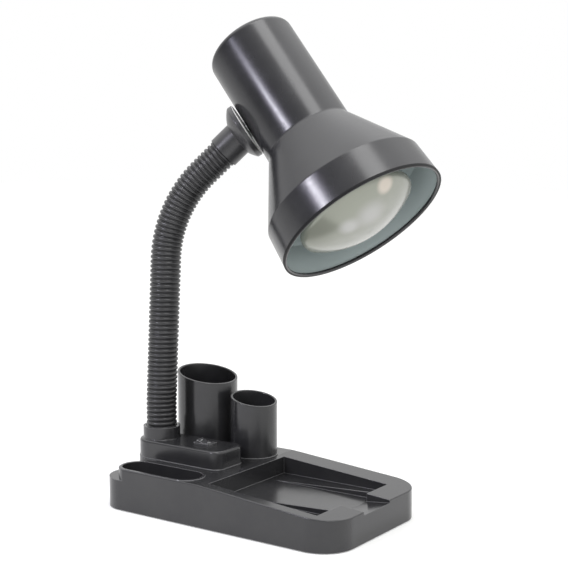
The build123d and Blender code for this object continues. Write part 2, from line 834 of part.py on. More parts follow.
with BuildPart() as shade:
    # Spun wall: rim, cone, barrel and closed end, drawn on the outside and thickened inwards.
    with BuildSketch(head_plane):
        with BuildLine():
            FilletPolyline(
                (mouth_radius, 0),
                (rim_radius, rim_height),
                (barrel_radius, cone_height),
                (barrel_radius, head_height),
                (0, head_height),
                radius=(rim_round, cone_round, head_top_round),
            )
            offset(amount=shade_wall, side=Side.LEFT)
        make_face()
    revolve(axis=head_axis)
    with BuildSketch(pivot_plane):
        Circle(pivot_radius + running)
    extrude(amount=pivot_gap + barrel_radius, mode=Mode.SUBTRACT)
save(shade, "shade")

with BuildPart() as bulb_glass:
    with BuildSketch(head_plane):
        with BuildLine():
            face = TangentArc((0, -bulb_proud), (bulb_radius, bulb_dome - bulb_proud), tangent=(1, 0))
            back = SagittaArc(face @ 1, (bulb_throat_radius, bulb_throat_height), bulb_belly)
            Polyline(back @ 1, (cap_radius - cap_lap, cap_height), (0, cap_height), face @ 0)
        make_face()
    revolve(axis=head_axis)
    rings = bulb_glass.edges().filter_by(lambda edge: edge.is_closed)
    fillet(rings.sort_by(SortBy.RADIUS)[-1], bulb_edge_round)
    neck_face = bulb_glass.faces().filter_by(GeomType.PLANE)[0]
    offset(amount=-bulb_wall, openings=neck_face)
save(bulb_glass, "bulb_glass")

with BuildPart() as bulb_cap:
    with BuildSketch(head_plane):
        with BuildLine():
            Polyline(
                (cap_radius - cap_lap, cap_height),
                (cap_radius, cap_height),
                (cap_radius, cap_height + cap_length),
                (0, cap_height + cap_length),
                (0, cap_height + cap_length - cap_lap),
                (cap_radius - cap_lap, cap_height + cap_length - cap_lap),
                close=True,
            )
        make_face()
    revolve(axis=head_axis)
save(bulb_cap, "bulb_cap")

with BuildPart() as bulb_contact:
    with BuildSketch(Plane(mouth_center - head_dir * (cap_height + cap_length), z_dir=-head_dir)):
        Circle(contact_radius)
    extrude(amount=contact_length, taper=contact_taper)
save(bulb_contact, "bulb_contact")

with BuildPart() as lamp_holder:
    with BuildSketch(head_plane):
        with BuildLine():
            Polyline(
                (0, holder_back),
                (holder_radius, holder_back),
                (holder_radius, holder_mouth),
                (shell_radius + fit + holder_lip, holder_mouth),
                (shell_radius + fit, holder_mouth + holder_lip),
                (shell_radius + fit, holder_seat),
                (0, holder_seat),
                close=True,
            )
        make_face()
    revolve(axis=head_axis)
save(lamp_holder, "lamp_holder")

with BuildPart() as holder_shell:
    with BuildSketch(Plane(mouth_center - head_dir * holder_seat, z_dir=head_dir)):
        Circle(shell_radius)
        Circle(shell_radius - shell_wall, mode=Mode.SUBTRACT)
    extrude(amount=holder_seat - holder_mouth - holder_lip)
save(holder_shell, "holder_shell")

with BuildPart() as holder_tongue:
    with BuildSketch(head_plane):
        with BuildLine():
            Polyline(
                (-tongue_reach, holder_seat),
                (-tongue_foot, holder_seat),
                (-tongue_tip, contact_tip + tongue_thickness),
                (tongue_tip, contact_tip + tongue_thickness),
            )
            offset(amount=tongue_thickness, side=Side.RIGHT)
        make_face()
    extrude(amount=tongue_width / 2, both=True)
save(holder_tongue, "holder_tongue")

with BuildPart() as holder_bracket:
    with BuildSketch(head_plane):
        with BuildLine():
            FilletPolyline(
                (-bracket_span / 2 - bracket_foot, head_height - shade_wall),
                (-bracket_span / 2, head_height - shade_wall),
                (-bracket_span / 2, holder_back + bracket_thickness),
                (bracket_span / 2, holder_back + bracket_thickness),
                (bracket_span / 2, head_height - shade_wall),
                (bracket_span / 2 + bracket_foot, head_height - shade_wall),
                radius=bracket_bend,
            )
            offset(amount=bracket_thickness, side=Side.RIGHT)
        make_face()
    extrude(amount=bracket_width / 2, both=True)
save(holder_bracket, "holder_bracket")
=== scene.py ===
# %% [markdown]
# # A desk lamp on an organizer base
# The lamp is built in two halves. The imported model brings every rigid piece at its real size, with
# the joints that move it. This lesson adds what the eye sees: the finish of each surface, the
# ribbed sleeve of the neck, the lip of the shade, the friction disc at its pivot, the soft pad
# under the base, the rubber grommet and the marks on the switch.
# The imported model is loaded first, because every other piece takes its place from it.

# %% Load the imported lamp
import json
import math

import bpy
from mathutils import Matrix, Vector

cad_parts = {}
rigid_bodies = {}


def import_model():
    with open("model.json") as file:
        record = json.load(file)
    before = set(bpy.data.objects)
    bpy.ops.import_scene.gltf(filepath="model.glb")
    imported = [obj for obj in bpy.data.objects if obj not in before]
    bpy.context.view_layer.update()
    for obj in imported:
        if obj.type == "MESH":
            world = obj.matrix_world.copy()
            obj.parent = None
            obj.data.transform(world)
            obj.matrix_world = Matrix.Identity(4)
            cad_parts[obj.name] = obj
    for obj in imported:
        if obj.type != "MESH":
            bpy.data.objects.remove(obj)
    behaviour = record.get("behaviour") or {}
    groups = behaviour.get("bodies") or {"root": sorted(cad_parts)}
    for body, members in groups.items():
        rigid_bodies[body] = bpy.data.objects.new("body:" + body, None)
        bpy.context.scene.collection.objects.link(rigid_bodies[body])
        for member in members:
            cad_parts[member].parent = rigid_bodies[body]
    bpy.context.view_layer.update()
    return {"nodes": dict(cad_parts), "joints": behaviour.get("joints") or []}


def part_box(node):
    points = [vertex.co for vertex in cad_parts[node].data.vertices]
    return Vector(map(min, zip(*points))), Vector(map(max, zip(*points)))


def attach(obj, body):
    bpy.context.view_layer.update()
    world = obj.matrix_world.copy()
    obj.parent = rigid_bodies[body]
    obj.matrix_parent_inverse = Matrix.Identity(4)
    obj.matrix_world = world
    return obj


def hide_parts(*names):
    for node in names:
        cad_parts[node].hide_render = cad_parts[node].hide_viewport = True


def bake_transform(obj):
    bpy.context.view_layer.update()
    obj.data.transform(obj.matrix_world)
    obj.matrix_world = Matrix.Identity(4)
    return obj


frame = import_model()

mm = 0.001
joints = {joint["name"]: joint for joint in frame["joints"]}
print("pieces in the packed lamp:", len(frame["nodes"]), "joints:", len(joints))

# %% [markdown]
# ## The camera
# The lamp is seen from its right front corner, from three quarters of its height, through a short
# telephoto lens. A camera can be aimed with a Track To constraint, but here its direction is known,
# so two angles say it: the turn about the vertical and the dip below the horizon.

# %% Set up the camera
camera_place = Vector((523.6, -715.6, 270.0)) * mm
camera_turn = 35.0
camera_dip = 6.5
camera_lens = 77.7
camera_sensor = 36.0

bpy.ops.object.select_all(action="DESELECT")
bpy.ops.object.camera_add(
    location=camera_place,
    rotation=(math.radians(90 - camera_dip), 0, math.radians(camera_turn)),
)
camera = bpy.context.object
camera.data.lens = camera_lens
camera.data.sensor_width = camera_sensor
bpy.context.scene.camera = camera
print("camera stands", round(camera_place.length, 3), "m from the origin")

# %% [markdown]
# ## Colours and nodes
# Colours are picked as sRGB hex values, the way a paint chart gives them, but shaders work with
# linear light. One function does that sum. A second one adds a node, sets it and links it, so that
# each finish below reads as a short list of nodes. A socket is called by its name, or by its number
# where names repeat: a Mix node blends numbers in sockets 2 and 3, and colours in 6 and 7.

# %% Two helpers for materials
def linear(hex_colour):
    """Linear RGBA of an sRGB hex colour."""
    channels = [int(hex_colour[place:place + 2], 16) / 255 for place in (1, 3, 5)]
    return [c / 12.92 if c <= 0.04045 else ((c + 0.055) / 1.055) ** 2.4 for c in channels] + [1.0]


def add_node(tree, kind, sockets=None, **settings):
    """Add a node with its settings, and fill its sockets with values or other nodes' outputs."""
    node = tree.nodes.new(kind)
    for name, value in settings.items():
        setattr(node, name, value)
    for name, value in (sockets or {}).items():
        if isinstance(value, bpy.types.NodeSocket):
            tree.links.new(value, node.inputs[name])
        else:
            node.inputs[name].default_value = value
    return node


# %% [markdown]
# ## Floor and light
# The photograph is a catalogue picture: white all round, brighter overhead, dimmer on the camera's
# side, and with one small window light at the camera's left, which draws the streak on the shade.
# The window has a wider, dimmer glow about it, as a curtain gives. The floor is a plain pale sheet.
# It could be lit until it is white, but that light would fall on the lamp too. So only what the
# camera and the reflections see of it is lifted to white, and the lamp's shadow stays on it.

# %% Light paths that see the studio
def studio_rays(tree):
    """Output that is 1 for what the camera, reflections and glass see, and 0 for plain lighting."""
    path = add_node(tree, "ShaderNodeLightPath")
    shine = add_node(tree, "ShaderNodeMath", {0: path.outputs["Is Camera Ray"],
                                              1: path.outputs["Is Glossy Ray"]},
                     operation="MAXIMUM")
    seen = add_node(tree, "ShaderNodeMath", {0: shine.outputs[0],
                                             1: path.outputs["Is Transmission Ray"]},
                    operation="MAXIMUM")
    return seen.outputs[0]


# %% Lay the floor
floor_size = 12.0
floor_lift = 0.25
floor_colour = "#E9E9E8"
white_light = "#FFFFFF"

bpy.ops.object.select_all(action="DESELECT")
bpy.ops.mesh.primitive_plane_add(size=floor_size)
floor = bpy.context.object
floor.name = "studio_floor"
# Uncoated paper scatters light evenly, so it has no shine at all.
floor_paint = bpy.data.materials.new("pale_paper")
floor_paint.use_nodes = True
tree = floor_paint.node_tree
tree.nodes.clear()
seen = studio_rays(tree)
lift = add_node(tree, "ShaderNodeMath", {0: seen, 1: floor_lift}, operation="MULTIPLY")
matt = add_node(tree, "ShaderNodeBsdfDiffuse", {"Color": linear(floor_colour)})
glow = add_node(tree, "ShaderNodeEmission", {"Color": linear(white_light),
                                             "Strength": lift.outputs[0]})
both = add_node(tree, "ShaderNodeAddShader", {0: matt.outputs[0], 1: glow.outputs[0]})
add_node(tree, "ShaderNodeOutputMaterial", {"Surface": both.outputs[0]})
floor.data.materials.append(floor_paint)
print("floor", floor_size, "m square")

# %% Fill the studio with light
ambient_level = 0.95
front_dim = 0.38
dim_until, full_from = -0.75, -0.1
ceiling_level = 2.2
ceiling_from, ceiling_full = 0.35, 0.9

world = bpy.data.worlds.new("white_studio")
bpy.context.scene.world = world
world.use_nodes = True
tree = world.node_tree
tree.nodes.clear()
seen = studio_rays(tree)
camera_ray = add_node(tree, "ShaderNodeLightPath").outputs["Is Camera Ray"]
look = add_node(tree, "ShaderNodeTexCoord")
split = add_node(tree, "ShaderNodeSeparateXYZ", {0: look.outputs["Generated"]})
behind = add_node(tree, "ShaderNodeMapRange",
                  {"Value": split.outputs["Y"], "From Min": dim_until, "From Max": full_from,
                   "To Min": front_dim, "To Max": 1.0}, interpolation_type="SMOOTHSTEP")
ceiling = add_node(tree, "ShaderNodeMapRange",
                   {"Value": split.outputs["Z"], "From Min": ceiling_from, "From Max": ceiling_full,
                    "To Min": 1.0, "To Max": ceiling_level}, interpolation_type="SMOOTHSTEP")
mirrored = add_node(tree, "ShaderNodeMath", {0: behind.outputs[0], 1: ceiling.outputs[0]},
                    operation="MULTIPLY")
white = add_node(tree, "ShaderNodeMix", {0: camera_ray, 2: mirrored.outputs[0], 3: 1.0},
                 data_type="FLOAT")
level = add_node(tree, "ShaderNodeMix", {0: seen, 2: ambient_level, 3: white.outputs[0]},
                 data_type="FLOAT")
sky = add_node(tree, "ShaderNodeBackground", {"Color": linear(white_light),
                                              "Strength": level.outputs[0]})
add_node(tree, "ShaderNodeOutputWorld", {"Surface": sky.outputs[0]})
print("ambient light", ambient_level)

# %% Place the lamps
head_centre = Vector((40.0, 20.0, 260.0)) * mm
# Name, direction from the head, distance, width and height in metres, power in watts, tint.
lamps = (
    ("window", Vector((-0.336, -0.864, 0.374)), 0.9, 0.21, 0.09, 2.2, "#F8F6FF"),
    ("window_glow", Vector((-0.342, -0.861, 0.385)), 0.92, 0.36, 0.24, 1.1, "#DCDAFF"),
    ("top_softbox", Vector((0.33, -0.14, 1.0)), 1.8, 0.8, 1.5, 15.5, "#FFFFFF"),
)
for name, direction, distance, width, height, power, tint in lamps:
    bpy.ops.object.select_all(action="DESELECT")
    place = head_centre + direction.normalized() * distance
    aim = (head_centre - place).to_track_quat("-Z", "Y").to_euler()
    bpy.ops.object.light_add(type="AREA", location=place, rotation=aim)
    lamp = bpy.context.object
    lamp.name = name
    lamp.data.shape = "RECTANGLE"
    lamp.data.size = width
    lamp.data.size_y = height
    lamp.data.energy = power
    lamp.data.color = linear(tint)[:3]
print("lamps:", [name for name, *_ in lamps])

bpy.context.scene.view_settings.view_transform = "Standard"

# %% [markdown]
# ## Finishes
# Nearly everything on this lamp is black, so the finishes differ in gloss and grain more than in
# colour. Each one drifts a little between two tones, as moulded or sprayed surfaces do, has a grain
# that breaks up its reflections, and a slightly rounded edge, because no real edge is sharp. They
# could be pictures wrapped round the pieces, but noise in a piece's own space needs no unwrapping,
# has no seams, and takes its sizes in millimetres.

# %% A finish that drifts between two tones
# The grain of a moulding or a plated plate is a few hundredths of a millimetre wide, too fine to
# show in a render. The finishes below draw it about ten times as coarse.
cloud_detail, speck_detail = 4.0, 2.0
cloud_range = (0.3, 0.7)     # noise hardly ever leaves this range
sum_range = (0.7, 1.3)       # the same for two noises added up
edge_samples = 6
# Between these likenesses of the rounded and the flat normal, an edge gets its painted highlight.
edge_highlight_from, edge_highlight_full = 0.99, 0.80


def finish(name, dark, light, drift, grain, depth, smooth, rough, edge=0.0, edge_wear_and_highlight=None, **shader):
    """Material whose colour drifts over `drift` mm and whose grain of `grain` mm is `depth` mm
    deep. Its roughness runs from `smooth` to `rough`. Its edges are rounded by `edge` mm, and where
    they are, a paler colour may be painted on: a little wear and mostly a painted highlight, which
    lightens concave corners as well."""
    material = bpy.data.materials.new(name)
    material.use_nodes = True
    tree = material.node_tree
    tree.nodes.clear()
    place = add_node(tree, "ShaderNodeTexCoord").outputs["Object"]
    cloud = add_node(tree, "ShaderNodeTexNoise", {"Vector": place, "Scale": 1 / (drift * mm),
                                                  "Detail": cloud_detail})
    speck = add_node(tree, "ShaderNodeTexNoise", {"Vector": place, "Scale": 1 / (grain * mm),
                                                  "Detail": speck_detail})
    tone = add_node(tree, "ShaderNodeMapRange", {"Value": cloud.outputs["Fac"],
                                                 "From Min": cloud_range[0],
                                                 "From Max": cloud_range[1]})
    colour = add_node(tree, "ShaderNodeMix", {0: tone.outputs[0], 6: linear(dark),
                                              7: linear(light)}, data_type="RGBA")
    both = add_node(tree, "ShaderNodeMath", {0: cloud.outputs["Fac"], 1: speck.outputs["Fac"]},
                    operation="ADD")
    gloss = add_node(tree, "ShaderNodeMapRange", {"Value": both.outputs[0],
                                                  "From Min": sum_range[0],
                                                  "From Max": sum_range[1],
                                                  "To Min": smooth, "To Max": rough})
    bump = add_node(tree, "ShaderNodeBump", {"Height": speck.outputs["Fac"],
                                             "Distance": depth * mm})
    body = add_node(tree, "ShaderNodeBsdfPrincipled", {"Base Color": colour.outputs[2],
                                                       "Roughness": gloss.outputs[0],
                                                       "Normal": bump.outputs[0], **shader})
    if edge:
        soft = add_node(tree, "ShaderNodeBevel", {"Radius": edge * mm}, samples=edge_samples)
        tree.links.new(soft.outputs[0], bump.inputs["Normal"])
    # Painted highlight with a little wear: a paler colour where the rounded normal leaves the flat
    # one, in concave corners too.
    if edge and edge_wear_and_highlight:
        flat = add_node(tree, "ShaderNodeNewGeometry")
        match = add_node(tree, "ShaderNodeVectorMath",
                         {0: soft.outputs[0], 1: flat.outputs["Normal"]}, operation="DOT_PRODUCT")
        edge_highlight_mask = add_node(tree, "ShaderNodeMapRange", {"Value": match.outputs["Value"],
                                                    "From Min": edge_highlight_from, "From Max": edge_highlight_full})
        edge_highlit = add_node(tree, "ShaderNodeMix", {0: edge_highlight_mask.outputs[0], 6: colour.outputs[2],
                                                7: linear(edge_wear_and_highlight)}, data_type="RGBA")
        tree.links.new(edge_highlit.outputs[2], body.inputs["Base Color"])
    add_node(tree, "ShaderNodeOutputMaterial", {"Surface": body.outputs[0]})
    return material


# %% Helpers that use a finish
def body_shader(material):
    """The Principled shader of a finish."""
    return next(node for node in material.node_tree.nodes if node.type == "BSDF_PRINCIPLED")


def dress(material, *names):
    """Give CAD nodes a finish, in the material slots that they already have."""
    for name in names:
        for slot in frame["nodes"][name].material_slots:
            slot.material = material
    print(material.name, "on", len(names), "pieces")


# %% [markdown]
# ### Black plastics
# The base, the cups and the switch housing are injection moulded ABS with a fine satin texture: it
# gives a soft grey sheen where it faces the light and stays deep black inside the trays. A paler
# colour is painted along its edges: a little wear and mostly a painted highlight. The knuckle is
# glass-filled nylon, a little duller, and the switch is a glossier, harder plastic with a painted
# highlight on its edges too. Each could have a material from a library, but they sit side by side
# here, so one function makes them all and only their numbers differ.

# %% Moulded black plastics
# A paler colour is painted along the edges: a little wear and mostly a painted highlight.
abs_plastic = finish("satin_moulded_abs", "#28282A", "#2E2E2F", drift=18.0, grain=0.5, depth=0.001,
                     smooth=0.18, rough=0.24, edge=0.7, edge_wear_and_highlight="#757577", IOR=1.52)
dress(abs_plastic, "base_shell", "large_pen_cup", "small_pen_cup", "switch_housing")
nylon = finish("black_filled_nylon", "#2F2F30", "#373738", drift=9.0, grain=0.4, depth=0.010,
               smooth=0.26, rough=0.36, edge=0.5, IOR=1.55)
dress(nylon, "knuckle", "pivot_spacer", "pivot_saddle")
# The switch's edges get a paler painted highlight as well.
switch_plastic = finish("glossy_black_polycarbonate", "#3A3A3C", "#434345", drift=6.0, grain=0.3,
                        depth=0.004, smooth=0.20, rough=0.30, edge=0.5, edge_wear_and_highlight="#9C9C9D", IOR=1.58)
dress(switch_plastic, "switch_frame", "switch_rocker")
# Undyed nylon has a milky, yellowish white and a waxy shine.
block_plastic = finish("natural_nylon", "#CFCBBB", "#DEDACB", drift=8.0, grain=0.5, depth=0.02,
                       smooth=0.40, rough=0.55, IOR=1.53)
dress(block_plastic, "terminal_block")

# %% [markdown]
# ### Metals and porcelain
# The plates, washers and nuts are bright zinc-plated steel with a cool, faintly clouded shine. The
# links of the neck are turned aluminium, softer and whiter, the contacts are warm yellow brass, and
# the lamp holder is porcelain under a glassy glaze. They are mostly hidden and could all be plain
# grey, but they show when the lamp is taken apart, so each has the finish it has on a bench.

# %% Metals and porcelain
zinc = finish("bright_zinc_plate", "#B9BBBD", "#CDD0D2", drift=7.0, grain=0.6, depth=0.01,
              smooth=0.24, rough=0.40, edge=0.2, Metallic=1.0)
dress(zinc, "bottom_plate", "ballast_plate", "base_screw_1", "base_screw_2", "base_screw_3",
      "base_screw_4", "neck_washer", "neck_nut", "pivot_stud", "pivot_spring", "pivot_nut",
      "holder_bracket")
aluminium = finish("turned_aluminium", "#C4C6C8", "#D6D8DA", drift=5.0, grain=0.4, depth=0.01,
                   smooth=0.28, rough=0.42, edge=0.2, Metallic=1.0)
neck_links = [name for name in frame["nodes"] if name.startswith("neck_link_")]
dress(aluminium, "neck_stud", "bulb_cap", *neck_links)
brass = finish("rolled_brass", "#C9A44A", "#DBB75E", drift=5.0, grain=0.4, depth=0.01,
               smooth=0.22, rough=0.38, edge=0.1, Metallic=1.0)
dress(brass, "switch_terminal_1", "switch_terminal_2", "bulb_contact", "holder_shell",
      "holder_tongue")
porcelain = finish("glazed_porcelain", "#E9E6DD", "#F1EFE8", drift=12.0, grain=0.8, depth=0.004,
                   smooth=0.10, rough=0.20, edge=0.4, IOR=1.50)
dress(porcelain, "lamp_holder")

# %% [markdown]
# ### The enamelled shade
# The shade is spun steel with a black stove enamel. Enamel flows as it dries, so its gloss has a
# faint orange peel and no grain. The inside has a paler grey-green coat that throws the light
# forward. The two coats could be two materials, but the shade is one solid that isn't cut, so its
# material tells inside from outside by its own geometry: inside, the surface faces the head's axis.
# The black laps over the lip and stops a few millimetres behind it, and the strip of it left showing
# behind the bead is painted shade for the gap there. A narrow band along the lip is painted blacker
# and duller than the sprayed shell, as painted shade for the dark line along the rolled lip.

# %% Find the head's axis
head_swing = math.radians(-24.3)
pivot_height = 113.5 * mm
pivot_offset = 35.9 * mm

swivel = joints["head_swivel"]
pivot_dir = Vector(swivel["axis"]).normalized()
pivot_foot = Vector(swivel["pos_m"])
up = Vector((0, 0, 1))
out = Vector((pivot_dir.x, pivot_dir.y, 0)).normalized()
hang = out * pivot_dir.z - up * math.hypot(pivot_dir.x, pivot_dir.y)
head_dir = hang * math.cos(head_swing) + up.cross(out) * math.sin(head_swing)
mouth = pivot_foot + pivot_dir * pivot_offset + head_dir * pivot_height
print("the shade's mouth is at", [round(value / mm, 1) for value in mouth], "mm")

# %% Spray the shade
enamel = finish("black_stove_enamel", "#1B1B1E", "#232326", drift=25.0, grain=2.2, depth=0.005,
                smooth=0.20, rough=0.27, edge=0.9, IOR=1.52)
tree = enamel.node_tree
shell = body_shader(enamel)
sprayed_colour = shell.inputs["Base Color"].links[0].from_socket
sprayed_gloss = shell.inputs["Roughness"].links[0].from_socket
dress(enamel, "shade")

# %% Tell inside from outside
least_inward = 0.5 * mm

coords = add_node(tree, "ShaderNodeTexCoord")
arm = add_node(tree, "ShaderNodeVectorMath", {0: coords.outputs["Object"], 1: mouth},
               operation="SUBTRACT")
along = add_node(tree, "ShaderNodeVectorMath", {0: arm.outputs[0], 1: head_dir},
                 operation="DOT_PRODUCT")
shift = add_node(tree, "ShaderNodeVectorMath", {0: head_dir, "Scale": along.outputs["Value"]},
                 operation="SCALE")
spoke = add_node(tree, "ShaderNodeVectorMath", {0: arm.outputs[0], 1: shift.outputs[0]},
                 operation="SUBTRACT")
facing = add_node(tree, "ShaderNodeVectorMath", {0: spoke.outputs[0], 1: coords.outputs["Normal"]},
                  operation="DOT_PRODUCT")
inward = add_node(tree, "ShaderNodeMath", {0: facing.outputs["Value"], 1: -least_inward},
                  operation="LESS_THAN")
print("the enamel has", len(tree.nodes), "nodes so far")

# %% Coat the inside
inside_coat = "#B9C5C5"
# The black laps this far inside the mouth; the strip of it left showing behind the bead is painted
# shade for the gap there.
lap_and_gap_shade = 2.8 * mm

behind_lip = add_node(tree, "ShaderNodeMath", {0: along.outputs["Value"], 1: -lap_and_gap_shade},
                      operation="LESS_THAN")
inside = add_node(tree, "ShaderNodeMath", {0: inward.outputs[0], 1: behind_lip.outputs[0]},
                  operation="MULTIPLY")
coats = add_node(tree, "ShaderNodeMix", {0: inside.outputs[0], 6: sprayed_colour,
                                         7: linear(inside_coat)}, data_type="RGBA")
print("the pale coat starts", round(lap_and_gap_shade / mm, 1), "mm behind the lip")

# %% Darken the lip
# Painted shade: the band along the lip is blacker and duller than the shell, for the dark line that
# the rolled lip shows.
lip_shade_colour = "#0E0E0F"
lip_shade_width = 1.3 * mm
lip_rough = 0.62

lip_shade_mask = add_node(tree, "ShaderNodeMath", {0: along.outputs["Value"], 1: -lip_shade_width},
                  operation="GREATER_THAN")
lip = add_node(tree, "ShaderNodeMix", {0: lip_shade_mask.outputs[0], 6: coats.outputs[2],
                                       7: linear(lip_shade_colour)}, data_type="RGBA")
gloss = add_node(tree, "ShaderNodeMix", {0: lip_shade_mask.outputs[0], 2: sprayed_gloss, 3: lip_rough},
                 data_type="FLOAT")
tree.links.new(lip.outputs[2], shell.inputs["Base Color"])
tree.links.new(gloss.outputs[0], shell.inputs["Roughness"])
# The band printed below is painted shade along the lip.
print("the second dip is", round(lip_shade_width / mm, 1), "mm wide")

# %% [markdown]
# ### The frosted bulb
# The reflector bulb has a lightly frosted face in front of a silvered cone. Unlit, the silvering
# behind the frost mirrors the desk and the base in a milky blur. Its colour drifts at random between
# two greys, and reflections are painted into it: a greener tint towards the rim that is nearest the
# neck, soft paler clouds and one warm highlight. Clear glass over a mirror would be nearer to the
# real bulb, but it needs many more light paths to come out clean, so one milky and slightly metallic
# skin with painted reflections stands for both.

# %% Frost the bulb
bulb_proud = 7.5 * mm
bulb_reach = 40.0 * mm
# Green-grey painted reflection, laid on towards the upper rim nearest the neck.
rim_reflection_tint = "#989B8F"

frosted = finish("frosted_bulb_glass", "#989995", "#AFAFAC", drift=15.0, grain=1.2, depth=0.0,
                 smooth=0.17, rough=0.23, Metallic=0.22, IOR=1.50)
tree = frosted.node_tree
glass = body_shader(frosted)
clouds = glass.inputs["Base Color"].links[0].from_socket
bulb_front = mouth + head_dir * bulb_proud
coords = add_node(tree, "ShaderNodeTexCoord")
arm = add_node(tree, "ShaderNodeVectorMath", {0: coords.outputs["Object"], 1: bulb_front},
               operation="SUBTRACT")
rise = add_node(tree, "ShaderNodeVectorMath", {0: arm.outputs[0], 1: up - out},
                operation="DOT_PRODUCT")
rim_reflection_mask = add_node(tree, "ShaderNodeMapRange", {"Value": rise.outputs["Value"],
                                              "From Min": -bulb_reach, "From Max": bulb_reach},
                 interpolation_type="SMOOTHSTEP")
frost_and_reflections = add_node(tree, "ShaderNodeMix", {0: rim_reflection_mask.outputs[0], 6: clouds, 7: linear(rim_reflection_tint)},
                 data_type="RGBA")
dress(frosted, "bulb_glass")

# %% Paint reflections on the frost
# Painted reflections: place on the glass, radius of the full colour, radius where it ends, colour.
painted_reflections = (
    (Vector((94.2, 20.5, 242.1)) * mm, 3.5 * mm, 9.0 * mm, "#CFC6BA"),
    (Vector((83.5, 20.0, 221.0)) * mm, 2.0 * mm, 16.0 * mm, "#B3B3B0"),
    (Vector((71.1, 10.9, 212.0)) * mm, 2.0 * mm, 11.0 * mm, "#B7B7B4"),
)

# Each is a painted reflection: the warm first one a painted highlight of a lamp, the pale ones
# reflections in the silvering.
for reflection_place, reflection_core, reflection_reach, reflection_colour in painted_reflections:
    gap = add_node(tree, "ShaderNodeVectorMath", {0: coords.outputs["Object"], 1: reflection_place},
                   operation="DISTANCE")
    reflection_fade = add_node(tree, "ShaderNodeMapRange", {"Value": gap.outputs["Value"],
                                                 "From Min": reflection_reach, "From Max": reflection_core},
                    interpolation_type="SMOOTHSTEP")
    frost_and_reflections = add_node(tree, "ShaderNodeMix", {0: reflection_fade.outputs[0], 6: frost_and_reflections.outputs[2],
                                             7: linear(reflection_colour)}, data_type="RGBA")
tree.links.new(frost_and_reflections.outputs[2], glass.inputs["Base Color"])
print("patches on the bulb:", len(painted_reflections))

# %% [markdown]
# ## The ribbed sleeve
# A corrugated PVC sleeve covers the jointed core of the neck from the collar to the knuckle. It is
# one flexible tube, so it has to bend at six joints. It could be a curve with a profile, but the
# ribs run across it, so one rib is modelled instead, repeated with an Array and laid along the neck
# with a Curve modifier. The sleeve is made in six lengths, cut between the joints.

# %% Helpers for modelling a piece
merge_gap = 0.001 * mm


def begin_piece(name, add_primitive, **settings):
    """Add one primitive under its own name, with nothing else selected, and open it for editing."""
    bpy.ops.object.select_all(action="DESELECT")
    add_primitive(**settings)
    piece = bpy.context.object
    piece.name = name
    piece.data.name = name
    bpy.ops.object.mode_set(mode="EDIT")
    return piece


def turn_profile(name, profile, sides):
    """Grow a ring into a turned form: each (height, radius) of the profile is one extrusion."""
    height, radius = profile[0]
    piece = begin_piece(name, bpy.ops.mesh.primitive_circle_add, vertices=sides, radius=radius,
                        location=(0, 0, height))
    for next_height, next_radius in profile[1:]:
        step = (0, 0, next_height - height)
        bpy.ops.mesh.extrude_region_move(TRANSFORM_OT_translate={"value": step})
        ratio = next_radius / radius
        bpy.ops.transform.resize(value=(ratio, ratio, 1), center_override=(0, 0, next_height))
        height, radius = next_height, next_radius
    return piece


def close_piece(piece, smooth_angle=40.0):
    """Merge doubles, turn the faces outwards, and put the piece's place into its mesh."""
    bpy.ops.mesh.select_all(action="SELECT")
    bpy.ops.mesh.remove_doubles(threshold=merge_gap)
    bpy.ops.mesh.normals_make_consistent(inside=False)
    bpy.ops.object.mode_set(mode="OBJECT")
    bpy.ops.object.transform_apply(location=True, rotation=True, scale=True)
    bpy.ops.object.shade_smooth_by_angle(angle=math.radians(smooth_angle))


def apply_modifier(piece, kind, **settings):
    """Add a modifier, set it and apply it."""
    modifier = piece.modifiers.new(kind.title(), kind)
    for name, value in settings.items():
        setattr(modifier, name, value)
    bpy.context.view_layer.objects.active = piece
    bpy.ops.object.modifier_apply(modifier=modifier.name)


def print_size(piece):
    """Print a finished piece's name and the sides of its box."""
    print(piece.name, [round(value / mm, 2) for value in piece.dimensions], "mm")


# %% The neck's centre line
neck_rise = 24.0 * mm
neck_lean = math.radians(2.4)
neck_lean_radius = 200.0 * mm
neck_run = 105.3 * mm
neck_top_tilt = math.radians(46.0)
neck_bend_radius = 98.0 * mm
neck_top_run = 20.0 * mm
ferrule_seat = 4.7 * mm

# Each leg has a length and the angle that it turns through.
neck_legs = (
    (neck_rise, 0.0),
    (neck_lean_radius * neck_lean, neck_lean),
    (neck_run, 0.0),
    (neck_bend_radius * (neck_top_tilt - neck_lean), neck_top_tilt - neck_lean),
    (neck_top_run + ferrule_seat, 0.0),
)
sleeve_length = sum(length for length, turn in neck_legs)
neck_foot = Vector(joints["neck_bend_1"]["pos_m"]) - up * neck_rise


def neck_at(station):
    """Point and direction of the neck's centre line at a distance along it."""
    point, tilt, left = neck_foot.copy(), 0.0, station
    for length, turn in neck_legs:
        step = min(left, length)
        bend = turn * step / length
        chord = 2 * length / turn * math.sin(bend / 2) if bend else step
        point += (out * math.sin(tilt + bend / 2) + up * math.cos(tilt + bend / 2)) * chord
        tilt, left = tilt + bend, left - step
    return point, out * math.sin(tilt) + up * math.cos(tilt)


print("sleeve length", round(sleeve_length / mm, 2), "mm")

# %% Draw the centre line as a Bezier curve
route_steps = 64

